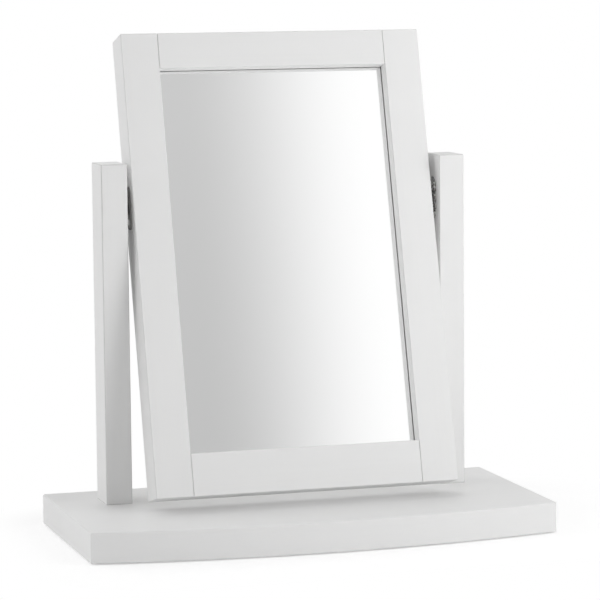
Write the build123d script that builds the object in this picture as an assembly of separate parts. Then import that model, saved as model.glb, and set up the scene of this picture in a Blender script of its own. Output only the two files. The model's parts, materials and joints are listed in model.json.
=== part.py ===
from build123d import *
import math
import os

# Dressing table mirror: a bow-fronted base board, two posts and a framed mirror hung between them.
# Millimetres. X runs across, +Y to the back, +Z up. The origin is on the table top under the middle
# of the base board. The mirror is drawn at its resting tilt, with its top leaning back.

# Base board
base_overhang = 50.0  # base past the outer face of a post
base_depth = 256.0
base_thick = 32.0
front_bow = 26.0  # how far the middle of the front edge stands out from its ends
base_arris = 1.5  # rounding of the board's edges

# Felt pads under the base
pad_radius = 9.0
pad_thick = 1.2
pad_inset = 26.0  # pad centre to the nearest edges

# Posts
post_width = 28.0
post_depth = 44.0
post_height = 358.0
post_setback = 43.5  # back edge of the board to the back of a post
post_arris = 1.5
post_screw_radius = 2.5
post_screw_head_radius = 4.8
post_screw_length = 62.0
post_screw_sink = 8.0  # depth of the hole in which the head is sunk
post_screw_sink_radius = 6.5
post_dowel_radius = 4.0
post_dowel_length = 32.0
post_dowel_in_base = 14.0
post_dowel_offset = 13.0  # dowel to screw, along the depth of the post

# Mirror frame
frame_width = 330.0
frame_height = 491.0
frame_thick = 38.0
frame_arris = 1.0
stile_width = 40.0
top_rail_height = 38.0
bottom_rail_height = 45.0
frame_dowel_radius = 4.0
frame_dowel_length = 40.0
frame_dowel_shares = (0.25, 0.75)  # across the wood between a rail's outer edge and its rebate

# Glass, beads and back panel
lip_thick = 13.5  # wood in front of the glass
rebate_width = 10.0
glass_thick = 3.0
bead_width = 9.0
panel_thick = 4.0
panel_land = 12.0  # ledge round the rebate that the panel is screwed to
panel_screw_radius = 1.5
panel_screw_head_radius = 2.9
panel_screw_length = 13.0
panel_screw_inset = 6.0  # screw to the edge of the panel
panel_screw_rows = (-0.4, 0.0, 0.4)  # along each long edge, as shares of it
panel_screw_columns = (-0.25, 0.25)  # along each short edge, as shares of it

# Pivot and its plates
pivot_drop = 48.0  # top of the post to the pivot
swing_gap = 1.5  # least gap between the frame and the base when the mirror is upright
rest_tilt = 15.0  # degrees that the top leans back
plate_long = 46.0
post_plate_wide = 22.0
frame_plate_wide = 14.0
plate_thick = 2.0
plate_arris = 0.4
plate_screw_offset = 15.0  # screw to pivot
plate_screw_radius = 1.7
plate_screw_head_radius = 3.4
plate_screw_length = 15.0
bolt_radius = 2.5
bolt_head_radius = 4.2
bolt_head_height = 3.5
bolt_socket_radius = 1.7
bolt_socket_depth = 2.0
bolt_end = 1.5  # thread that stands out past the nut
nut_across_flats = 8.0
nut_height = 4.0
nut_pocket_radius = 6.5
nut_pocket_spare = 1.0  # behind the end of the bolt
head_washer_radius = 5.0
head_washer_thick = 1.0
head_pocket_radius = 5.4
friction_washer_radius = 6.8
friction_washer_thick = 1.0
spring_washer_radius = 6.5
spring_washer_thick = 0.8
spring_washer_height = 1.9  # height of its dish when it is clamped

# Clearances
glue_gap = 0.1  # round a dowel
dowel_end_gap = 1.0
thread_gap = 0.05  # round the shank of a screw in its hole
running_gap = 0.06  # round the pivot bolt in the frame plate
slide_gap = 0.1  # between faces that turn on each other
loose_gap = 0.5  # round the pivot bolt where nothing bears on it
seat_gap = 0.1  # round a part in its own hole
glass_gap = 1.0  # round the glass and the beads
panel_gap = 1.0  # round the back panel

# Small shapes
screw_tip = 3.0
slot_width = 0.9
slot_depth = 1.1
slot_share = 1.1  # length of a screw's cross slot, as a share of its head's radius
hole_end_gap = 0.5  # past the point of a screw
dowel_bevel = 0.8
bolt_head_arris = 0.5
nut_arris = 0.6
overshoot = 1.0  # how far a cut runs past the face that it opens

# Places that follow from the sizes above
base_bottom = pad_thick
base_top = base_bottom + base_thick
base_back = base_depth / 2
base_front = -base_depth / 2
frame_side = frame_width / 2
side_gap = 2 * plate_thick + slide_gap + friction_washer_thick + spring_washer_height
post_top = base_top + post_height
post_inner = frame_side + side_gap
post_outer = post_inner + post_width
post_centre_x = post_inner + post_width / 2
base_side = post_outer + base_overhang
pivot_y = base_back - post_setback - post_depth / 2
pivot_z = post_top - pivot_drop
frame_below = math.sqrt((pivot_z - base_top - swing_gap) ** 2 - (frame_thick / 2) ** 2)
frame_above = frame_height - frame_below
opening_half = frame_side - stile_width
opening_bottom = -frame_below + bottom_rail_height
opening_top = frame_above - top_rail_height
frame_front = -frame_thick / 2
frame_back = frame_thick / 2
glass_front = frame_front + lip_thick
glass_back = glass_front + glass_thick
panel_front = frame_back - panel_thick
panel_reach = rebate_width + panel_land
plate_gap_low = frame_side + plate_thick
plate_gap_high = post_inner - plate_thick
head_floor = opening_half + rebate_width + slide_gap + bolt_head_height + head_washer_thick + slide_gap

mirror_place = Pos(0, pivot_y, pivot_z) * Rot(X=-rest_tilt)
pivot_place = Pos(0, pivot_y, pivot_z)


def block(x0, x1, y0, y1, z0, z1):
    """A box between two corners."""
    centre = Pos((x0 + x1) / 2, (y0 + y1) / 2, (z0 + z1) / 2)
    return centre * Box(x1 - x0, y1 - y0, z1 - z0)


def rod(radius, x0, x1):
    """A round bar along X."""
    return Pos((x0 + x1) / 2, 0, 0) * Rot(Y=90) * Cylinder(radius, x1 - x0)


def washer(outer, inner, x0, x1):
    return rod(outer, x0, x1) - rod(inner, x0 - overshoot, x1 + overshoot)


def screw(radius, head_radius, length):
    """A countersunk wood screw: the flat of its head at the origin, its point towards -Z."""
    head_height = head_radius - radius
    profile = Polyline(
        (0, 0, 0),
        (head_radius, 0, 0),
        (radius, 0, -head_height),
        (radius, 0, screw_tip - length),
        (0, 0, -length),
        close=True,
    )
    body = revolve(make_face(profile), Axis.Z)
    recess = Box(head_radius * slot_share, slot_width, slot_depth * 2)
    return body - recess - Rot(Z=90) * recess


def screw_hole(radius, head_radius, length):
    """What is cut away for a countersunk screw, with its clearance."""
    wide = head_radius + thread_gap
    narrow = radius + thread_gap
    profile = Polyline(
        (0, 0, overshoot),
        (wide, 0, overshoot),
        (wide, 0, 0),
        (narrow, 0, narrow - wide),
        (narrow, 0, -length - hole_end_gap),
        (0, 0, -length - hole_end_gap),
        close=True,
    )
    return revolve(make_face(profile), Axis.Z)


def dowel(radius, length):
    """A dowel along Z, centred, with bevelled ends."""
    bar = Cylinder(radius, length)
    return chamfer(bar.edges().filter_by(GeomType.CIRCLE), dowel_bevel)


def dowel_hole(radius, length):
    return Cylinder(radius + glue_gap, length + 2 * dowel_end_gap)


def gather(solids):
    """Separate solids kept side by side in one node."""
    return Compound(children=[solid for piece in solids for solid in piece.solids()])


def both_sides(piece):
    return [piece, mirror(piece, about=Plane.YZ)]


# Places of the repeated fasteners

def post_screw_place():
    return Pos(post_centre_x, pivot_y, base_bottom + post_screw_sink) * Rot(X=180)


def post_dowel_places():
    middle = base_top - post_dowel_in_base + post_dowel_length / 2
    return [Pos(post_centre_x, pivot_y + s * post_dowel_offset, middle) for s in (-1, 1)]


def frame_dowel_places():
    """The two dowels of each joint on the right side, in the frame's own place."""
    places = []
    for outer, inner in ((frame_above, opening_top), (-frame_below, opening_bottom)):
        solid_wood = inner - outer - math.copysign(rebate_width, inner - outer)
        for share in frame_dowel_shares:
            places.append(Pos(opening_half, 0, outer + share * solid_wood) * Rot(Y=90))
    return places


def plate_screw_places(face, outward):
    """The two screws of a plate on the right side, driven along X."""
    turn = Rot(Y=90 * outward)
    return [Pos(face, 0, s * plate_screw_offset) * turn for s in (-1, 1)]


def post_screw_hole():
    return post_screw_place() * screw_hole(post_screw_radius, post_screw_head_radius, post_screw_length)


def plate_screw_cuts(face, outward):
    hole = screw_hole(plate_screw_radius, plate_screw_head_radius, plate_screw_length)
    return [place * hole for place in plate_screw_places(face, outward)]


def panel_half_size():
    half_width = opening_half + panel_reach - panel_gap
    half_height = (opening_top - opening_bottom) / 2 + panel_reach - panel_gap
    return half_width, half_height


def panel_screw_places():
    half_width, half_height = panel_half_size()
    middle = (opening_top + opening_bottom) / 2
    side = half_width - panel_screw_inset
    end = half_height - panel_screw_inset
    spots = []
    for s in (-1, 1):
        spots += [(s * side, middle + row * 2 * half_height) for row in panel_screw_rows]
        spots += [(column * 2 * half_width, middle + s * end) for column in panel_screw_columns]
    return [Pos(x, frame_back, z) * Rot(X=-90) for x, z in spots]


# Stand

def base_board():
    corner = base_front + front_bow
    outline = Polyline(
        (base_side, corner), (base_side, base_back), (-base_side, base_back), (-base_side, corner)
    )
    bow = ThreePointArc((-base_side, corner), (0, base_front), (base_side, corner))
    board = Pos(0, 0, base_bottom) * extrude(make_face(outline + bow), base_thick)
    board = fillet(board.edges(), base_arris)
    sink = Pos(post_centre_x, pivot_y, base_bottom) * Cylinder(post_screw_sink_radius, 2 * post_screw_sink)
    cuts = [sink, post_screw_hole()]
    cuts += [place * dowel_hole(post_dowel_radius, post_dowel_length) for place in post_dowel_places()]
    for cut in cuts:
        for copy in both_sides(cut):
            board -= copy
    return board


def pads():
    x = base_side - pad_inset
    rows = (base_front + front_bow + pad_inset, base_back - pad_inset)
    spots = [(s * x, y) for s in (-1, 1) for y in rows]
    return gather([Pos(x, y, pad_thick / 2) * Cylinder(pad_radius, pad_thick) for x, y in spots])


def post():
    y0 = pivot_y - post_depth / 2
    y1 = pivot_y + post_depth / 2
    wood = block(post_inner, post_outer, y0, y1, base_top, post_top)
    above_foot = wood.edges().filter_by(lambda edge: edge.center().Z > base_top + post_arris)
    wood = fillet(above_foot, post_arris)
    wood -= post_screw_hole()
    for place in post_dowel_places():
        wood -= place * dowel_hole(post_dowel_radius, post_dowel_length)
    for cut in plate_screw_cuts(plate_gap_high, -1):
        wood -= pivot_place * cut
    pocket_floor = post_inner + nut_height + bolt_end + nut_pocket_spare
    return wood - pivot_place * rod(nut_pocket_radius, post_inner - overshoot, pocket_floor)


def post_dowels():
    dowels = [place * dowel(post_dowel_radius, post_dowel_length) for place in post_dowel_places()]
    return gather([copy for piece in dowels for copy in both_sides(piece)])


def post_screws():
    piece = screw(post_screw_radius, post_screw_head_radius, post_screw_length)
    return gather(both_sides(post_screw_place() * piece))


# Pivot

def plate(width, x0, face, outward, bore):
    """A round-ended plate on the right side, with its pivot hole and two countersunk holes."""
    outline = Rot(Y=90) * Rot(Z=90) * SlotOverall(plate_long, width)
    body = extrude(Pos(x0, 0, 0) * Rot(X=90) * outline, plate_thick)
    rim = body.edges().filter_by(lambda edge: abs(edge.center().X - face) < plate_thick / 4)
    body = chamfer(rim, plate_arris)
    body -= rod(bore, x0 - overshoot, x0 + plate_thick + overshoot)
    for cut in plate_screw_cuts(face, outward):
        body -= cut
    return body


def post_plate():
    return pivot_place * plate(post_plate_wide, plate_gap_high, plate_gap_high, -1, bolt_radius + seat_gap)


def frame_plate():
    return mirror_place * plate(frame_plate_wide, frame_side, plate_gap_low, 1, bolt_radius + running_gap)


def plate_screws(face, outward, place):
    piece = screw(plate_screw_radius, plate_screw_head_radius, plate_screw_length)
    right = [place * spot * piece for spot in plate_screw_places(face, outward)]
    return gather([copy for one in right for copy in both_sides(one)])


def pivot_bolt():
    """The bolt on which the mirror turns: its head is inside the stile, its nut inside the post."""
    head_start = head_floor - slide_gap - head_washer_thick - bolt_head_height
    head_end = head_start + bolt_head_height
    head = rod(bolt_head_radius, head_start, head_end)
    head = chamfer(head.edges().group_by(Axis.X)[0], bolt_head_arris)
    shank = rod(bolt_radius, head_end, post_inner + nut_height + bolt_end)
    hexagon = extrude(RegularPolygon(bolt_socket_radius, 6), bolt_socket_depth)
    socket = Pos(head_start, 0, 0) * Rot(Y=90) * hexagon
    return pivot_place * (head + shank - socket)


def head_washer():
    x1 = head_floor - slide_gap
    return pivot_place * washer(head_washer_radius, bolt_radius + seat_gap, x1 - head_washer_thick, x1)


def friction_washer():
    x0 = plate_gap_low + slide_gap
    x1 = x0 + friction_washer_thick
    return pivot_place * washer(friction_washer_radius, bolt_radius + seat_gap, x0, x1)


def spring_washer():
    """A dished ring that fills the space between the friction washer and the post plate."""
    low = plate_gap_low + slide_gap + friction_washer_thick
    high = plate_gap_high
    inner = bolt_radius + seat_gap
    outer = spring_washer_radius
    profile = Polyline(
        (low, inner, 0),
        (low + spring_washer_thick, inner, 0),
        (high, outer, 0),
        (high - spring_washer_thick, outer, 0),
        close=True,
    )
    return pivot_place * revolve(make_face(profile), Axis.X)


def pivot_nut():
    hexagon = extrude(RegularPolygon(nut_across_flats / 2, 6, major_radius=False), nut_height)
    tip = nut_across_flats / math.sqrt(3) - nut_arris
    upright = (Align.CENTER, Align.CENTER, Align.MIN)
    cone = Cone(tip + nut_height, tip, nut_height, align=upright)
    nut = Pos(post_inner, 0, 0) * Rot(Y=90) * (hexagon & cone)
    thread = rod(bolt_radius + thread_gap, post_inner - overshoot, post_inner + nut_height + overshoot)
    return pivot_place * (nut - thread)


# Mirror frame, drawn upright about the pivot and then leaned back

def frame_joint_cuts():
    """Dowel holes of the right side's joints."""
    return [place * dowel_hole(frame_dowel_radius, frame_dowel_length) for place in frame_dowel_places()]


def panel_screw_cuts():
    hole = screw_hole(panel_screw_radius, panel_screw_head_radius, panel_screw_length)
    return [place * hole for place in panel_screw_places()]


def stile():
    wood = block(opening_half, frame_side, frame_front, frame_back, -frame_below, frame_above)
    wood = fillet(wood.edges(), frame_arris)
    inner = opening_half - overshoot
    wood -= block(
        inner, opening_half + rebate_width, glass_front, frame_back + overshoot,
        opening_bottom - rebate_width, opening_top + rebate_width,
    )
    wood -= block(
        inner, opening_half + panel_reach, panel_front, frame_back + overshoot,
        opening_bottom - panel_reach, opening_top + panel_reach,
    )
    for cut in frame_joint_cuts() + panel_screw_cuts():
        wood -= cut
    pocket_mouth = opening_half + rebate_width - overshoot
    wood -= rod(head_pocket_radius, pocket_mouth, head_floor)
    wood -= rod(bolt_radius + loose_gap, pocket_mouth, frame_side + overshoot)
    for cut in plate_screw_cuts(plate_gap_low, 1):
        wood -= cut
    return mirror_place * wood


def rail(outer, inner, inward):
    """A rail between its outer edge and the edge of the opening."""
    wood = block(-opening_half, opening_half, frame_front, frame_back, *sorted((outer, inner)))
    wood = fillet(wood.edges(), frame_arris)
    length = opening_half + overshoot
    for depth, reach in ((glass_front, rebate_width), (panel_front, panel_reach)):
        z0, z1 = sorted((inner + inward * overshoot, inner - inward * reach))
        wood -= block(-length, length, depth, frame_back + overshoot, z0, z1)
    for cut in frame_joint_cuts():
        for copy in both_sides(cut):
            wood -= copy
    for cut in panel_screw_cuts():
        wood -= cut
    return mirror_place * wood


def frame_dowels():
    piece = dowel(frame_dowel_radius, frame_dowel_length)
    right = [mirror_place * place * piece for place in frame_dowel_places()]
    return gather([copy for one in right for copy in both_sides(one)])


def glass():
    half = opening_half + rebate_width - glass_gap
    z0 = opening_bottom - rebate_width + glass_gap
    z1 = opening_top + rebate_width - glass_gap
    return mirror_place * block(-half, half, glass_front, glass_back, z0, z1)


def side_bead():
    outer = opening_half + rebate_width - glass_gap
    z0 = opening_bottom - rebate_width + glass_gap
    z1 = opening_top + rebate_width - glass_gap
    return mirror_place * block(outer - bead_width, outer, glass_back, panel_front, z0, z1)


def end_bead(edge, inward):
    half = opening_half + rebate_width - glass_gap - bead_width
    outer = edge - inward * (rebate_width - glass_gap)
    z0, z1 = sorted((outer, outer + inward * bead_width))
    return mirror_place * block(-half, half, glass_back, panel_front, z0, z1)


def back_panel():
    half_width, half_height = panel_half_size()
    middle = (opening_top + opening_bottom) / 2
    board = block(
        -half_width, half_width, panel_front, frame_back, middle - half_height, middle + half_height
    )
    for cut in panel_screw_cuts():
        board -= cut
    return mirror_place * board


def panel_screws():
    piece = screw(panel_screw_radius, panel_screw_head_radius, panel_screw_length)
    return gather([mirror_place * place * piece for place in panel_screw_places()])


def handed(name, piece):
    """The right-hand piece and its mirror image, under their own names."""
    right, left = both_sides(piece)
    return {name + "_left": left, name + "_right": right}


nodes = {
    "base_board": base_board(),
    "base_pads": pads(),
    "post_dowels": post_dowels(),
    "post_screws": post_screws(),
    "post_plate_screws": plate_screws(plate_gap_high, -1, pivot_place),
    "frame_plate_screws": plate_screws(plate_gap_low, 1, mirror_place),
    "rail_top": rail(frame_above, opening_top, -1),
    "rail_bottom": rail(-frame_below, opening_bottom, 1),
    "frame_dowels": frame_dowels(),
    "mirror_glass": glass(),
    "bead_top": end_bead(opening_top, -1),
    "bead_bottom": end_bead(opening_bottom, 1),
    "back_panel": back_panel(),
    "panel_screws": panel_screws(),
}
nodes.update(handed("post", post()))
nodes.update(handed("post_plate", post_plate()))
nodes.update(handed("frame_plate", frame_plate()))
nodes.update(handed("pivot_bolt", pivot_bolt()))
nodes.update(handed("pivot_nut", pivot_nut()))
nodes.update(handed("head_washer", head_washer()))
nodes.update(handed("friction_washer", friction_washer()))
nodes.update(handed("spring_washer", spring_washer()))
nodes.update(handed("stile", stile()))
nodes.update(handed("bead", side_bead()))

os.makedirs("parts", exist_ok=True)
for name, piece in nodes.items():
    export_step(piece, "parts/" + name + ".step")
print("pivot at y", round(pivot_y, 3), "z", round(pivot_z, 3))
print("frame above the pivot", round(frame_above, 3), "and below", round(frame_below, 3))
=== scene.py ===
import bpy, bmesh, json, math
from mathutils import Matrix, Vector


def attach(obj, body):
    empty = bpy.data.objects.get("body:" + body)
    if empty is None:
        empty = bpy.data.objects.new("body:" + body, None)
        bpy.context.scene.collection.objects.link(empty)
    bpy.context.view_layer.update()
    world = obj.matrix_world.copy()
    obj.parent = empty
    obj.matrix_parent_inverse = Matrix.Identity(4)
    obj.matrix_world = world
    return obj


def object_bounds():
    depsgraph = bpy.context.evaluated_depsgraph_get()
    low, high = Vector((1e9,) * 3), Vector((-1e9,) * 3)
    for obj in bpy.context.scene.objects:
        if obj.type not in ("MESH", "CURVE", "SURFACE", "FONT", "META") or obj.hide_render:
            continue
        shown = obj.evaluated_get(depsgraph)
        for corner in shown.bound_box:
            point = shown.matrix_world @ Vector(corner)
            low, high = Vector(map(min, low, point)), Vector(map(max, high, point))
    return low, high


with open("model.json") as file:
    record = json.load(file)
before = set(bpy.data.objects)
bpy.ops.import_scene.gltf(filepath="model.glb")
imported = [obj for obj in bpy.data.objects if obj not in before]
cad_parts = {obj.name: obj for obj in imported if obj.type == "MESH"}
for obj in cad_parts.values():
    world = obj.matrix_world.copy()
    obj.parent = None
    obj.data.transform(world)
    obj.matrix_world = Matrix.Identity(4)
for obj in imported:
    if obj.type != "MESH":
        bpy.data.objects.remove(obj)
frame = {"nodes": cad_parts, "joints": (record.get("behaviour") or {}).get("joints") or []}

# Dressing table mirror: the finish of every board, the silvered glass, the hinge plates and a plain
# white studio round them. Metres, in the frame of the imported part.

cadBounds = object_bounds()
cadNodes = frame["nodes"]
print("frame loaded:", len(cadNodes), "pieces")


# Places taken from the frame

def widestFace(piece):
    return max(piece.data.polygons, key=lambda face: face.area)


pivot = Vector(frame["joints"][0]["pos_m"])
glassFacing = widestFace(cadNodes["mirror_glass"]).normal
restTilt = math.atan2(abs(glassFacing.z), abs(glassFacing.y))  # how far the top leans back
toWorld = Matrix.Translation(pivot) @ Matrix.Rotation(-restTilt, 4, "X")
toFrame = toWorld.inverted()


def frameBox(node):
    # lowest and highest corner of a piece of the leaning frame, measured square to the frame
    spots = [toFrame @ vertex.co for vertex in cadNodes[node].data.vertices]
    low = Vector(min(spot[axis] for spot in spots) for axis in range(3))
    high = Vector(max(spot[axis] for spot in spots) for axis in range(3))
    return low, high


# Helpers for node trees

def addNode(tree, kind, settings=None, **inputs):
    node = tree.nodes.new(kind)
    for name, value in (settings or {}).items():
        setattr(node, name, value)
    for name, value in inputs.items():
        setInput(tree, node, name, value)
    return node


def setInput(tree, node, name, value):
    # name is the socket's own, where _ may stand for a space, or in0, in1 and so on for its number;
    # another node's output is linked to it, and a plain number, vector or colour is set
    numbered = name.startswith("in") and name[2:].isdigit()
    socket = node.inputs[int(name[2:]) if numbered else name.replace("_", " ")]
    if isinstance(value, bpy.types.NodeSocket):
        tree.links.new(value, socket)
    elif socket.type == "RGBA":
        socket.default_value = (*value, 1)
    else:
        socket.default_value = value


def mathNode(tree, operation, first, second=0.0, clamp=False):
    settings = {"operation": operation, "use_clamp": clamp}
    return addNode(tree, "ShaderNodeMath", settings, in0=first, in1=second).outputs[0]


def vectorNode(tree, operation, **inputs):
    return addNode(tree, "ShaderNodeVectorMath", {"operation": operation}, **inputs).outputs


def shareNode(tree, share, first, second):
    # the first value by its share, and the second by the rest
    part = mathNode(tree, "MULTIPLY", first, share)
    rest = mathNode(tree, "MULTIPLY", second, 1 - share)
    return mathNode(tree, "ADD", part, rest)


def rampNode(tree, value, stops):
    # stops are (place, grey or colour), from low to high
    ramp = addNode(tree, "ShaderNodeValToRGB", in0=value)
    elements = ramp.color_ramp.elements
    while len(elements) < len(stops):
        elements.new(stops[len(elements) - 1][0])
    for element, (place, shade) in zip(elements, stops):
        element.position = place
        element.color = (*shade, 1) if isinstance(shade, tuple) else (shade, shade, shade, 1)
    return ramp.outputs["Color"]


def rangeNode(tree, value, low, high, start=0.0, end=1.0):
    # low where the value is at start or below, and high where it is at end or above
    spans = {"From_Min": start, "From_Max": end, "To_Min": low, "To_Max": high}
    return addNode(tree, "ShaderNodeMapRange", Value=value, **spans).outputs["Result"]


def easeNode(tree, value, start, end):
    # 0 at start and 1 at end, with a soft turn at both
    soft = {"interpolation_type": "SMOOTHSTEP"}
    node = addNode(tree, "ShaderNodeMapRange", soft, Value=value, From_Min=start, From_Max=end)
    return node.outputs["Result"]


def noiseNode(tree, vector, scale, detail=3.0, roughness=0.5):
    sizes = {"Scale": scale, "Detail": detail, "Roughness": roughness}
    return addNode(tree, "ShaderNodeTexNoise", Vector=vector, **sizes).outputs["Fac"]


def stretchNode(tree, vector, scale=(1, 1, 1), turn=(0, 0, 0)):
    node = addNode(tree, "ShaderNodeMapping", {"vector_type": "POINT"}, Vector=vector)
    setInput(tree, node, "Scale", scale)
    setInput(tree, node, "Rotation", turn)
    return node.outputs["Vector"]


def stretchedNoise(tree, vector, stretch, detail, roughness):
    # noise as fine along each axis as stretch says
    return noiseNode(tree, stretchNode(tree, vector, stretch), 1.0, detail, roughness)


def mixColour(tree, share, first, second):
    # the first colour at a share of 0, and the second at 1
    return addNode(tree, "ShaderNodeMix", {"data_type": "RGBA"}, in0=share, in6=first, in7=second).outputs[2]


def mixValue(tree, share, first, second):
    return addNode(tree, "ShaderNodeMix", {"data_type": "FLOAT"}, in0=share, in2=first, in3=second).outputs[0]


def bumpNode(tree, height, distance, **normal):
    return addNode(tree, "ShaderNodeBump", Height=height, Distance=distance, **normal).outputs["Normal"]


def objectVector(tree):
    return addNode(tree, "ShaderNodeTexCoord").outputs["Object"]


def boardVector(tree, alongX, leaning, output="Object"):
    # object coordinates, or the surface's normal, turned so that the board's length runs along Z
    vector = addNode(tree, "ShaderNodeTexCoord").outputs[output]
    if leaning:
        vector = stretchNode(tree, vector, turn=(restTilt, 0, 0))
    if alongX:
        vector = stretchNode(tree, vector, turn=(0, -math.pi / 2, 0))
    return vector


def newFinish(name, **plain):
    # a material with its Principled shader, whose plain values stand on the shader's own sockets
    material = bpy.data.materials.new(name)
    material.use_nodes = True
    tree = material.node_tree
    shader = tree.nodes["Principled BSDF"]
    for label, value in plain.items():
        setInput(tree, shader, label, value)
    return material, tree, shader


def dress(material, *names):
    for name in names:
        piece = cadNodes[name]
        piece.data.materials.clear()
        piece.data.materials.append(material)


# Effects that several finishes share

def makeGroup(name, inputs, outputs):
    # inputs and outputs name each socket and its kind
    group = bpy.data.node_groups.new(name, "ShaderNodeTree")
    for direction, sockets in (("INPUT", inputs), ("OUTPUT", outputs)):
        for label, kind in sockets.items():
            group.interface.new_socket(name=label, in_out=direction, socket_type="NodeSocket" + kind)
    return group, group.nodes.new("NodeGroupInput").outputs, group.nodes.new("NodeGroupOutput").inputs


def placeGroup(tree, group, **inputs):
    return addNode(tree, "ShaderNodeGroup", {"node_tree": group}, **inputs).outputs


grainLook = {
    # each layer is its stretch across and along the grain, its detail and its roughness
    "bands": ((34, 34, 1.6), 3.0, 0.55),
    "fibres": ((520, 520, 11), 5.0, 0.62),
    "pores": ((1500, 1500, 42), 2.0, 0.5),
    "poreLines": ((0.28, 0.0), (0.42, 1.0)),
    "bandShare": 0.55,  # of the tone, and the fibres make the rest
    "fibreHeight": 0.6,  # of the height, and the rest is level
}


def makeWoodGrain():
    # Vector is in metres with the grain along Z, and Tone and Height are 0..1
    inputs = {"Vector": "Vector", "Coarseness": "Float"}
    group, given, made = makeGroup("woodGrain", inputs, {"Tone": "Float", "Height": "Float"})
    along = vectorNode(group, "SCALE", in0=given["Vector"], Scale=given["Coarseness"])[0]
    bands = stretchedNoise(group, along, *grainLook["bands"])
    fibres = stretchedNoise(group, along, *grainLook["fibres"])
    pores = stretchedNoise(group, along, *grainLook["pores"])
    raised = mathNode(group, "MULTIPLY", fibres, grainLook["fibreHeight"])
    raised = mathNode(group, "ADD", raised, 1 - grainLook["fibreHeight"])
    height = mathNode(group, "MULTIPLY", raised, rampNode(group, pores, grainLook["poreLines"]))
    group.links.new(shareNode(group, grainLook["bandShare"], bands, fibres), made["Tone"])
    group.links.new(height, made["Height"])
    return group


coatLook = {
    # each noise is its scale, detail and roughness
    "fine": (2400.0, 1.0, 0.5),
    "cloud": (9.0, 3.0, 0.55),
    "pebbleDetail": 1.5,
    "pebbleShare": 0.75,  # of the height, and the finer noise makes the rest
}


def makeSprayedCoat():
    # the slight pebble of a sprayed satin coat, and the soft clouds in its gloss
    inputs = {"Vector": "Vector", "Pebble": "Float"}
    group, given, made = makeGroup("sprayedCoat", inputs, {"Height": "Float", "Cloud": "Float"})
    pebble = noiseNode(group, given["Vector"], given["Pebble"], coatLook["pebbleDetail"])
    fine = noiseNode(group, given["Vector"], *coatLook["fine"])
    cloud = noiseNode(group, given["Vector"], *coatLook["cloud"])
    group.links.new(shareNode(group, coatLook["pebbleShare"], pebble, fine), made["Height"])
    group.links.new(cloud, made["Cloud"])
    return group


edgeLook = {"samples": 6, "gain": 7.0, "rubbedAndShaded": ((0.35, 0.35), (0.62, 1.0))}


def makeEdgeMask():
    # 1 on the sharp edges of a piece and 0 on its flats, broken up a little
    inputs = {"Vector": "Vector", "Width": "Float", "Break": "Float"}
    group, given, made = makeGroup("edgeMask", inputs, {"Mask": "Float"})
    rounded = addNode(group, "ShaderNodeBevel", {"samples": edgeLook["samples"]}, Radius=given["Width"])
    plain = addNode(group, "ShaderNodeNewGeometry").outputs["Normal"]
    agree = vectorNode(group, "DOT_PRODUCT", in0=rounded.outputs[0], in1=plain)["Value"]
    turned = mathNode(group, "SUBTRACT", 1.0, agree)
    strong = mathNode(group, "MULTIPLY", turned, edgeLook["gain"], clamp=True)
    broken = noiseNode(group, given["Vector"], given["Break"])
    rubbedAndShaded = rampNode(group, broken, edgeLook["rubbedAndShaded"])
    group.links.new(mathNode(group, "MULTIPLY", strong, rubbedAndShaded), made["Mask"])
    return group


creviceShadeLook = {
    "samples": 8,
    "deep": ((0.45, 1.0), (0.92, 0.0)),  # how open the place is, and how far it is darkened
    "patches": 60.0,
    "patchy": ((0.3, 0.55), (0.6, 1.0)),
}


def makeCreviceShadeMask():
    # 1 in the corners where two pieces meet and 0 in the open: it marks the dark line of each joint, and it
    # paints shade into corners and along contact lines by how little open space they see
    group, given, made = makeGroup("creviceShadeMask", {"Vector": "Vector", "Reach": "Float"}, {"Mask": "Float"})
    rays = {"samples": creviceShadeLook["samples"]}
    openness = addNode(group, "ShaderNodeAmbientOcclusion", rays, Distance=given["Reach"]).outputs["AO"]
    deep = rampNode(group, openness, creviceShadeLook["deep"])
    patches = noiseNode(group, given["Vector"], creviceShadeLook["patches"])
    patchy = rampNode(group, patches, creviceShadeLook["patchy"])
    group.links.new(mathNode(group, "MULTIPLY", deep, patchy), made["Mask"])
    return group


arrisLook = {
    "rounded": ((0.58, 0.35), (0.70, 1.0), (0.80, 1.0), (0.97, 0.0)),  # less on the corners
    "rubs": (45.0, 4.0, 0.6),  # scale, detail and roughness
    "rubbedAndShaded": ((0.3, 0.6), (0.6, 1.0)),
}


def makeArrisMask():
    # 1 on the rounded edges of a squared board and 0 on its faces: how far the surface is turned from
    # the board's own three directions
    group, given, made = makeGroup("arrisMask", {"Vector": "Vector", "Normal": "Vector"}, {"Mask": "Float"})
    turned = vectorNode(group, "ABSOLUTE", in0=given["Normal"])[0]
    parts = addNode(group, "ShaderNodeSeparateXYZ", Vector=turned).outputs
    squared = mathNode(group, "MAXIMUM", mathNode(group, "MAXIMUM", parts["X"], parts["Y"]), parts["Z"])
    rounded = rampNode(group, squared, arrisLook["rounded"])
    rubs = noiseNode(group, given["Vector"], *arrisLook["rubs"])
    rubbedAndShaded = rampNode(group, rubs, arrisLook["rubbedAndShaded"])
    group.links.new(mathNode(group, "MULTIPLY", rounded, rubbedAndShaded), made["Mask"])
    return group


woodGrain = makeWoodGrain()
sprayedCoat = makeSprayedCoat()
edgeMask = makeEdgeMask()
creviceShadeMask = makeCreviceShadeMask()
arrisMask = makeArrisMask()
print("shared effects ready")


def edgeNode(tree, vector, rim):
    # rim is how wide the mask runs in from a sharp edge, and how finely it is broken up
    width, fineness = rim
    return placeGroup(tree, edgeMask, Vector=vector, Width=width, Break=fineness)["Mask"]


# White satin paint on wood

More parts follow.
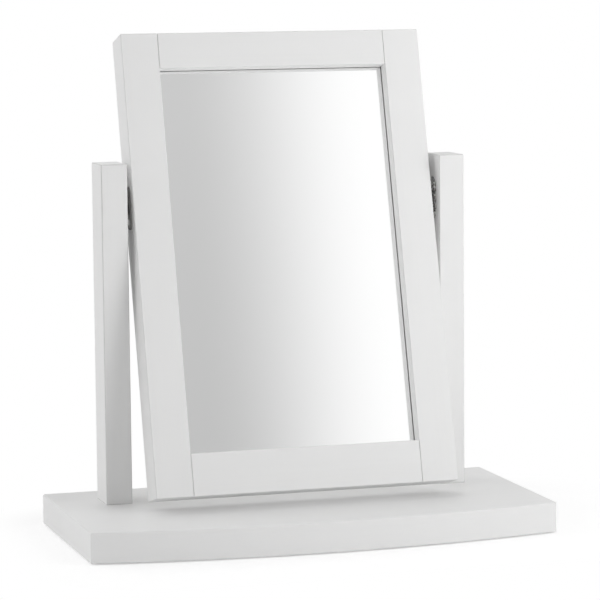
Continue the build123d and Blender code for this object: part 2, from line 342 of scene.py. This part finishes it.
paint = {
    "colour": (0.826, 0.826, 0.824),
    "thin": (0.772, 0.770, 0.762),  # where the grain shows through
    "edge": (0.600, 0.598, 0.588),  # rubbed thin along the arrises, and painted shade on them
    "joint": (0.380, 0.377, 0.365),  # the line where two boards meet, and painted shade in corners and along contact lines
    "ior": 1.40,
    "roughness": (0.46, 0.56),
    "coarseness": 1.0,  # of the grain
    "grainTones": ((0.30, 1.0), (0.52, 0.12), (0.75, 0.0)),  # how far each tone of the grain shows
    "grainShare": 0.30,
    "cloudShare": 0.10,
    "rim": (0.0011, 90.0),
    "rimShare": 0.5,
    "jointReach": 0.0016,
    "jointFacing": ((0.25, 0.0), (0.5, 1.0)),  # how far a surface faces front or back, and how dark it may be
    "grainHeight": 0.000030,
    "pebble": 620.0,
    "pebbleHeight": 0.000016,
}
paintedBoards = {
    # the edge share is how far the arrises are darkened, partly rubbed paint and partly painted shade, and
    # the joint share is how dark the lines between boards and the painted shade in their corners are
    "paintedBase": {
        "pieces": ["base_board"],
        "alongX": True, "leaning": False, "edgeWearAndShade": 0.08, "joint": 0.0,
    },
    "paintedPosts": {
        "pieces": ["post_left", "post_right"],
        "alongX": False, "leaning": False, "edgeWearAndShade": 0.85, "joint": 0.7,
    },
    "paintedStiles": {
        "pieces": ["stile_left", "stile_right"],
        "alongX": False, "leaning": True, "edgeWearAndShade": 0.50, "joint": 0.62,
    },
    "paintedRails": {
        "pieces": ["rail_top", "rail_bottom"],
        "alongX": True, "leaning": True, "edgeWearAndShade": 0.15, "joint": 0.62,
    },
}


def paintedFinish(name, board):
    material, tree, shader = newFinish(name, IOR=paint["ior"])
    vector = boardVector(tree, board["alongX"], board["leaning"])
    facing = boardVector(tree, board["alongX"], board["leaning"], "Normal")
    grain = placeGroup(tree, woodGrain, Vector=vector, Coarseness=paint["coarseness"])
    coat = placeGroup(tree, sprayedCoat, Vector=vector, Pebble=paint["pebble"])
    through = rampNode(tree, grain["Tone"], paint["grainTones"])
    through = mathNode(tree, "MULTIPLY", through, paint["grainShare"])
    colour = mixColour(tree, through, paint["colour"], paint["thin"])
    clouds = mathNode(tree, "MULTIPLY", coat["Cloud"], paint["cloudShare"])
    colour = mixColour(tree, clouds, colour, paint["thin"])
    # the arrises darken: partly rubbed paint, partly painted shade along them
    sharp = mathNode(tree, "MULTIPLY", edgeNode(tree, vector, paint["rim"]), paint["rimShare"])
    rounded = placeGroup(tree, arrisMask, Vector=vector, Normal=facing)["Mask"]
    rubbedAndShaded = mathNode(tree, "MULTIPLY", mathNode(tree, "MAXIMUM", sharp, rounded), board["edgeWearAndShade"])
    colour = mixColour(tree, rubbedAndShaded, colour, paint["edge"])
    # joint colour: the dark line where boards meet, plus painted shade in corners and along contact lines
    if board["joint"]:
        colour = mixColour(tree, jointDepth(tree, vector, facing, board), colour, paint["joint"])
    setInput(tree, shader, "Base Color", colour)
    setInput(tree, shader, "Roughness", rangeNode(tree, coat["Cloud"], *paint["roughness"]))
    fromGrain = bumpNode(tree, grain["Height"], paint["grainHeight"])
    setInput(tree, shader, "Normal", bumpNode(tree, coat["Height"], paint["pebbleHeight"], Normal=fromGrain))
    return material


def jointDepth(tree, vector, facing, board):
    creviceShade = placeGroup(tree, creviceShadeMask, Vector=vector, Reach=paint["jointReach"])["Mask"]
    depth = mathNode(tree, "MULTIPLY", creviceShade, board["joint"])
    if not board["leaning"]:
        return depth
    # the dark joint lines and the painted corner shade show on the frame's front and back, and its lip stays
    # clean up to the glass
    across = addNode(tree, "ShaderNodeSeparateXYZ", Vector=facing).outputs["Y"]
    front = rampNode(tree, mathNode(tree, "ABSOLUTE", across), paint["jointFacing"])
    return mathNode(tree, "MULTIPLY", depth, front)


for name, board in paintedBoards.items():
    dress(paintedFinish(name, board), *board["pieces"])
print("boards painted")


# Glass with its silver behind it

glass = {"colour": (0.995, 0.997, 0.996), "ior": 1.5}
silver = {
    "colour": (0.965, 0.965, 0.965),
    "hazed": 0.992,  # how light the haze is beside that
    "haze": (14.0, 4.0, 0.6),  # scale, detail and roughness
    "roughness": (0.0, 0.004),
    "inset": 0.00006,  # from the back face and the edges of the glass
    "thick": 0.00005,
}
backing = {
    "colours": ((0.18, 0.19, 0.19), (0.25, 0.26, 0.26)),
    "mottle": (120.0, 4.0, 0.6),  # scale, detail and roughness
    "roughness": 0.6,
}


def glassFinish():
    plain = {"Transmission_Weight": 1.0, "Roughness": 0.0}
    return newFinish("clearGlass", Base_Color=glass["colour"], IOR=glass["ior"], **plain)[0]


def silverFinish():
    material, tree, shader = newFinish("silvering", Metallic=1.0)
    haze = noiseNode(tree, objectVector(tree), *silver["haze"])
    hazed = tuple(silver["hazed"] * part for part in silver["colour"])
    setInput(tree, shader, "Base Color", mixColour(tree, haze, silver["colour"], hazed))
    setInput(tree, shader, "Roughness", rangeNode(tree, haze, *silver["roughness"]))
    return material


def backingFinish():
    material, tree, shader = newFinish("backingPaint", Roughness=backing["roughness"])
    mottle = noiseNode(tree, objectVector(tree), *backing["mottle"])
    setInput(tree, shader, "Base Color", mixColour(tree, mottle, *backing["colours"]))
    return material


def placeMesh(name, mesh):
    data = bpy.data.meshes.new(name)
    mesh.to_mesh(data)
    mesh.free()
    piece = bpy.data.objects.new(name, data)
    bpy.context.scene.collection.objects.link(piece)
    return piece


def makeSilvering():
    # a thin sheet just inside the back face of the glass: its front is silver and its back is paint
    low, high = frameBox("mirror_glass")
    middle = (low + high) / 2
    back = high.y - silver["inset"]
    mesh = bmesh.new()
    rings = []
    for y in (back - silver["thick"], back):
        ring = []
        for x, z in ((low.x, low.z), (high.x, low.z), (high.x, high.z), (low.x, high.z)):
            x -= math.copysign(silver["inset"], x - middle.x)
            z -= math.copysign(silver["inset"], z - middle.z)
            ring.append(mesh.verts.new(toWorld @ Vector((x, y, z))))
        rings.append(ring)
    front, rear = rings
    mesh.faces.new(front)
    mesh.faces.new(reversed(rear)).material_index = 1
    for i in range(4):
        j = (i + 1) % 4
        mesh.faces.new((front[j], front[i], rear[i], rear[j])).material_index = 1
    bmesh.ops.recalc_face_normals(mesh, faces=mesh.faces)
    sheet = placeMesh("silvering", mesh)
    for material in (silverFinish(), backingFinish()):
        sheet.data.materials.append(material)
    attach(sheet, "mirror")


dress(glassFinish(), "mirror_glass")
makeSilvering()
print("glass silvered")


# Steel plates, screws, bolts and washers

brushMarks = ((3000, 3000, 90), 3.0, 0.6)  # stretch, detail and roughness
mottleDetail = (3.0, 0.55)  # detail and roughness
steels = {
    # mottle is how fine the patches are and where they start and end
    # the plates' dark edge colour is painted shade for the narrow gap round them, and the near-white and
    # near-black patches on the post plates are painted glints and shade
    "postPlateSteel": {
        "pieces": ["post_plate_left", "post_plate_right"],
        "colour": (0.92, 0.92, 0.90), "dark": (0.05, 0.05, 0.048), "mottle": (480.0, 0.42, 0.60),
        "edge": (0.012, 0.012, 0.012), "rim": (0.0012, 400.0), "wearAndShadeShare": 1.0,
        "roughness": (0.30, 0.46), "scratch": 0.000006, "metallic": 0.45,
    },
    "oiledSteel": {
        "pieces": ["frame_plate_left", "frame_plate_right"],
        "colour": (0.34, 0.34, 0.33), "dark": (0.15, 0.15, 0.145), "mottle": (160.0, 0.2, 0.8),
        "edge": (0.050, 0.050, 0.050), "rim": (0.0012, 400.0), "wearAndShadeShare": 1.0,
        "roughness": (0.34, 0.50), "scratch": 0.000006, "metallic": 0.45,
    },
    "springSteel": {
        "pieces": ["spring_washer_left", "spring_washer_right"],
        "colour": (0.36, 0.36, 0.37), "dark": (0.22, 0.22, 0.23), "mottle": (260.0, 0.0, 1.0),
        "edge": (0.60, 0.60, 0.60), "rim": (0.0004, 400.0), "wearAndShadeShare": 0.8,
        "roughness": (0.25, 0.40), "scratch": 0.000004, "metallic": 0.9,
    },
    "zincSteel": {
        "pieces": [
            "post_screws", "post_plate_screws", "frame_plate_screws", "panel_screws",
            "pivot_bolt_left", "pivot_bolt_right", "pivot_nut_left", "pivot_nut_right",
            "head_washer_left", "head_washer_right",
        ],
        "colour": (0.82, 0.82, 0.81), "dark": (0.66, 0.66, 0.65), "mottle": (260.0, 0.0, 1.0),
        "edge": (0.90, 0.90, 0.89), "rim": (0.0004, 400.0), "wearAndShadeShare": 0.8,
        "roughness": (0.22, 0.38), "scratch": 0.000004, "metallic": 0.7,
    },
}


def steelFinish(name, steel):
    material, tree, shader = newFinish(name, Metallic=steel["metallic"])
    vector = objectVector(tree)
    brushed = stretchedNoise(tree, vector, *brushMarks)
    fineness, start, end = steel["mottle"]
    patches = rampNode(tree, noiseNode(tree, vector, fineness, *mottleDetail), ((start, 0.0), (end, 1.0)))
    colour = mixColour(tree, patches, steel["dark"], steel["colour"])
    # edge colour: worn bright metal on the screws and washers, painted shade round the plates
    rubbedAndShaded = mathNode(tree, "MULTIPLY", edgeNode(tree, vector, steel["rim"]), steel["wearAndShadeShare"])
    setInput(tree, shader, "Base Color", mixColour(tree, rubbedAndShaded, colour, steel["edge"]))
    setInput(tree, shader, "Roughness", rangeNode(tree, brushed, *steel["roughness"]))
    setInput(tree, shader, "Normal", bumpNode(tree, brushed, steel["scratch"]))
    return material


for name, steel in steels.items():
    dress(steelFinish(name, steel), *steel["pieces"])
print("steel pieces finished")


# Bare wood, fibre washers, felt pads and the back panel

beech = {
    "coarseness": 1.6,
    "tones": ((0.28, (0.42, 0.27, 0.15)), (0.5, (0.60, 0.43, 0.27)), (0.75, (0.70, 0.53, 0.36))),
    "grainHeight": 0.00008, "roughness": 0.55, "ior": 1.45,
}
fibre = {
    "flecks": (1900.0, 4.0, 0.7),  # scale, detail and roughness
    "colours": ((0.05, 0.05, 0.05), (0.15, 0.145, 0.14)),
    "fleckHeight": 0.00005, "roughness": (0.65, 0.9), "ior": 1.45,
}
felt = {
    "wool": (1600.0, 6.0, 0.75),  # scale, detail and roughness
    "colours": ((0.42, 0.42, 0.40), (0.62, 0.62, 0.60)),
    "woolHeight": 0.0002, "roughness": 0.95, "sheen": 0.4, "sheenRoughness": 0.5,
}
backBoard = {
    "flecks": (900.0, 5.0, 0.7), "clouds": (16.0, 4.0, 0.6),  # scale, detail and roughness
    "fleckShare": 0.8,  # of the tone, and the clouds make the rest
    "tones": ((0.30, (0.60, 0.59, 0.57)), (0.5, (0.73, 0.725, 0.71)), (0.72, (0.78, 0.777, 0.765))),
    "edge": (0.45, 0.38, 0.30), "rim": (0.0012, 90.0), "wearAndShadeShare": 0.5,
    "fleckHeight": 0.00006, "roughness": (0.52, 0.7), "ior": 1.45,
}


def beechFinish():
    material, tree, shader = newFinish("bareBeech", Roughness=beech["roughness"], IOR=beech["ior"])
    grain = placeGroup(tree, woodGrain, Vector=objectVector(tree), Coarseness=beech["coarseness"])
    setInput(tree, shader, "Base Color", rampNode(tree, grain["Tone"], beech["tones"]))
    setInput(tree, shader, "Normal", bumpNode(tree, grain["Height"], beech["grainHeight"]))
    return material


def fibreFinish():
    material, tree, shader = newFinish("pressedFibre", IOR=fibre["ior"])
    flecks = noiseNode(tree, objectVector(tree), *fibre["flecks"])
    setInput(tree, shader, "Base Color", mixColour(tree, flecks, *fibre["colours"]))
    setInput(tree, shader, "Roughness", rangeNode(tree, flecks, *fibre["roughness"]))
    setInput(tree, shader, "Normal", bumpNode(tree, flecks, fibre["fleckHeight"]))
    return material


def feltFinish():
    sheen = {"Sheen_Weight": felt["sheen"], "Sheen_Roughness": felt["sheenRoughness"]}
    material, tree, shader = newFinish("pressedFelt", Roughness=felt["roughness"], **sheen)
    wool = noiseNode(tree, objectVector(tree), *felt["wool"])
    setInput(tree, shader, "Base Color", mixColour(tree, wool, *felt["colours"]))
    setInput(tree, shader, "Normal", bumpNode(tree, wool, felt["woolHeight"]))
    return material


def backBoardFinish():
    # thin paint on fibreboard, whose flecks show through
    material, tree, shader = newFinish("backBoard", IOR=backBoard["ior"])
    vector = boardVector(tree, alongX=False, leaning=True)
    flecks = noiseNode(tree, vector, *backBoard["flecks"])
    clouds = noiseNode(tree, vector, *backBoard["clouds"])
    tone = shareNode(tree, backBoard["fleckShare"], flecks, clouds)
    colour = rampNode(tree, tone, backBoard["tones"])
    rubbedAndShaded = mathNode(tree, "MULTIPLY", edgeNode(tree, vector, backBoard["rim"]), backBoard["wearAndShadeShare"])
    setInput(tree, shader, "Base Color", mixColour(tree, rubbedAndShaded, colour, backBoard["edge"]))
    setInput(tree, shader, "Roughness", rangeNode(tree, flecks, *backBoard["roughness"]))
    setInput(tree, shader, "Normal", bumpNode(tree, flecks, backBoard["fleckHeight"]))
    return material


dress(beechFinish(), "post_dowels", "frame_dowels", "bead_top", "bead_bottom", "bead_left", "bead_right")
dress(fibreFinish(), "friction_washer_left", "friction_washer_right")
dress(feltFinish(), "base_pads")
dress(backBoardFinish(), "back_panel")
print("finishes placed on", len(cadNodes), "pieces")


# Studio: a white floor, soft light and one grey screen that only reflections see

floorLook = {
    "reach": 12.0,
    "colour": (0.93, 0.93, 0.93),
    "seenColour": (0.62, 0.62, 0.62), "lift": 0.48,  # as it is seen: darker with a glow, for a light shadow
    "boxMiddle": (0.05, 0.0, 0.0),  # the floor turns pure white outside a box as wide as the base
    "fade": (0.02, 0.12),  # where that starts and ends, from the box outwards
}
skyLight = {
    "back": {"from": (0, 1, 0), "strength": 0.95},
    "left": {"from": (-1, 0, 0), "strength": 0.68},
}
lamps = {
    "keyRight": {"at": (1.15, -1.25, 0.95), "size": 1.3, "power": 16.7},
    "lowRight": {"at": (1.2, -1.3, 0.5), "size": 0.9, "power": 2.5},
    "sideRight": {"at": (1.6, -0.3, 0.7), "size": 1.0, "power": 2.7},
    "overhead": {"at": (0.0, 0.0, 1.9), "size": 2.0, "power": 6.6},
    "cameraSide": {"at": (-0.5, -1.6, 1.4), "size": 0.9, "power": 1.9},
    "frontLeft": {"at": (-1.2, -1.2, 0.8), "size": 0.9, "power": 1.0},
    "sideLeft": {"at": (-1.3, 0.15, 1.15), "size": 0.9, "power": 2.4},
    "lowLeft": {"at": (-1.3, -0.5, 0.2), "size": 0.5, "power": 0.4},
    "backLeft": {"at": (-1.2, 1.2, 0.8), "size": 0.9, "power": 1.6},
}
lampAim = Vector((0, 0, 0.25))
screenLook = {
    "distance": 2.2, "reach": 3.0,
    "gradient": (0.445, 0.845), "slant": -0.06,  # where the grey turns to white, from left to right
    "grey": (0.56, 0.62), "greyHeights": (0.9, 1.6), "white": 1.05,  # the grey end is darker low down
    "foot": (0.05, 0.75), "rim": 1.2,  # it fades to white down to the floor and towards its rim
}


def makeSheet(name, finish, corners):
    # one flat face of the studio, and the node tree of its finish
    mesh = bmesh.new()
    mesh.faces.new([mesh.verts.new(corner) for corner in corners])
    sheet = placeMesh(name, mesh)
    material = bpy.data.materials.new(finish)
    material.use_nodes = True
    material.node_tree.nodes.clear()
    sheet.data.materials.append(material)
    return sheet, material.node_tree


def seenRays(tree):
    # 1 for what the camera sees, reflected or through glass too, and 0 for the light that falls on things
    path = addNode(tree, "ShaderNodeLightPath").outputs
    bounced = mathNode(tree, "ADD", path["Is Glossy Ray"], path["Is Transmission Ray"])
    return mathNode(tree, "ADD", path["Is Camera Ray"], bounced, clamp=True)


def makeFloor():
    reach = floorLook["reach"]
    corners = ((-reach, -reach, 0), (reach, -reach, 0), (reach, reach, 0), (-reach, reach, 0))
    floor, tree = makeSheet("floor", "whiteFloor", corners)
    seen = seenRays(tree)
    colour = mixColour(tree, seen, floorLook["colour"], floorLook["seenColour"])
    matt = addNode(tree, "ShaderNodeBsdfDiffuse", Color=colour)
    lift = addNode(tree, "ShaderNodeEmission", Strength=mathNode(tree, "MULTIPLY", seen, floorLook["lift"]))
    near = addNode(tree, "ShaderNodeAddShader", in0=matt.outputs[0], in1=lift.outputs[0])
    moved = vectorNode(tree, "SUBTRACT", in0=objectVector(tree), in1=floorLook["boxMiddle"])[0]
    spread = vectorNode(tree, "ABSOLUTE", in0=moved)[0]
    halfBox = (cadBounds[1][0], cadBounds[1][1], 1.0)
    past = vectorNode(tree, "SUBTRACT", in0=spread, in1=halfBox)[0]
    outside = vectorNode(tree, "MAXIMUM", in0=past, in1=(0, 0, 0))[0]
    away = vectorNode(tree, "LENGTH", in0=outside)["Value"]
    share = mathNode(tree, "MULTIPLY", easeNode(tree, away, *floorLook["fade"]), seen)
    white = addNode(tree, "ShaderNodeEmission", Strength=1.0)
    mixed = addNode(tree, "ShaderNodeMixShader", in0=share, in1=near.outputs[0], in2=white.outputs[0])
    addNode(tree, "ShaderNodeOutputMaterial", Surface=mixed.outputs[0])


def makeWorld():
    world = bpy.data.worlds.new("studio")
    bpy.context.scene.world = world
    world.use_nodes = True
    tree = world.node_tree
    tree.nodes.clear()
    direction = addNode(tree, "ShaderNodeTexCoord").outputs["Generated"]
    total = 0.0
    for side in skyLight.values():
        facing = vectorNode(tree, "DOT_PRODUCT", in0=direction, in1=side["from"])["Value"]
        glow = mathNode(tree, "MULTIPLY", mathNode(tree, "MAXIMUM", facing, 0.0), side["strength"])
        total = mathNode(tree, "ADD", total, glow)
    light = addNode(tree, "ShaderNodeBackground", Color=(1, 1, 1), Strength=total)
    white = addNode(tree, "ShaderNodeBackground", Color=(1, 1, 1), Strength=1.0)
    seen = seenRays(tree)
    mixed = addNode(tree, "ShaderNodeMixShader", in0=seen, in1=light.outputs[0], in2=white.outputs[0])
    addNode(tree, "ShaderNodeOutputWorld", Surface=mixed.outputs[0])


def makeLamp(name, lamp):
    data = bpy.data.lights.new(name, "AREA")
    data.energy = lamp["power"]
    data.shape = "SQUARE"
    data.size = lamp["size"]
    light = bpy.data.objects.new(name, data)
    light.location = lamp["at"]
    light.rotation_euler = (lampAim - light.location).to_track_quat("-Z", "Y").to_euler()
    light.visible_camera = light.visible_glossy = light.visible_transmission = False
    bpy.context.scene.collection.objects.link(light)


def makeScreen():
    # it stands in front of the object and gives the glass its change from grey to white
    reach = screenLook["reach"]
    y = pivot.y - screenLook["distance"]
    corners = ((-reach, y, 0), (reach, y, 0), (reach, y, reach), (-reach, y, reach))
    screen, tree = makeSheet("screen", "greyScreen", corners)
    screen.visible_camera = screen.visible_diffuse = screen.visible_shadow = False
    parts = addNode(tree, "ShaderNodeSeparateXYZ", Vector=objectVector(tree)).outputs
    along = mathNode(tree, "ADD", parts["X"], mathNode(tree, "MULTIPLY", parts["Z"], screenLook["slant"]))
    grey = rangeNode(tree, parts["Z"], *screenLook["grey"], *screenLook["greyHeights"])
    shade = rangeNode(tree, easeNode(tree, along, *screenLook["gradient"]), grey, screenLook["white"])
    inside = easeNode(tree, parts["Z"], *screenLook["foot"])
    for axis in ("X", "Z"):
        toRim = mathNode(tree, "SUBTRACT", reach, mathNode(tree, "ABSOLUTE", parts[axis]))
        inside = mathNode(tree, "MULTIPLY", inside, easeNode(tree, toRim, 0.0, screenLook["rim"]))
    glow = addNode(tree, "ShaderNodeEmission", Strength=mixValue(tree, inside, 1.0, shade))
    addNode(tree, "ShaderNodeOutputMaterial", Surface=glow.outputs[0])


makeFloor()
makeWorld()
for name, lamp in lamps.items():
    makeLamp(name, lamp)
makeScreen()
bpy.context.scene.cycles.blur_glossy = 0.0  # or the light that the mirror throws on its lip is blurred away
print("studio ready")


# Camera: to the left of the object and a little above it

cameraLook = {
    "aim": (0.0, 0.013, 0.2512), "distance": 3.0663,
    "yaw": 16.907, "pitch": 6.538, "roll": -0.551,
    "right": 0.005736, "up": -0.00654,  # how far it stands aside from the line to its aim
    "lens": 174.77, "sensor": 36.0, "clipEnd": 60.0,
}


def makeCamera():
    yaw, pitch, roll = (math.radians(cameraLook[name]) for name in ("yaw", "pitch", "roll"))
    forward = Vector((math.sin(yaw) * math.cos(pitch), math.cos(yaw) * math.cos(pitch), -math.sin(pitch)))
    level = Vector((math.cos(yaw), -math.sin(yaw), 0))
    upright = level.cross(forward)
    right = level * math.cos(roll) + upright * math.sin(roll)
    up = upright * math.cos(roll) - level * math.sin(roll)
    spot = Vector(cameraLook["aim"]) - forward * cameraLook["distance"]
    spot += right * cameraLook["right"]
    spot += up * cameraLook["up"]
    data = bpy.data.cameras.new("camera")
    data.lens = cameraLook["lens"]
    data.sensor_width = cameraLook["sensor"]
    data.clip_end = cameraLook["clipEnd"]
    camera = bpy.data.objects.new("camera", data)
    camera.matrix_world = Matrix.Translation(spot) @ Matrix((right, up, -forward)).transposed().to_4x4()
    bpy.context.scene.collection.objects.link(camera)
    bpy.context.scene.camera = camera


makeCamera()
bpy.context.scene.view_settings.view_transform = "Standard"
print("camera placed")
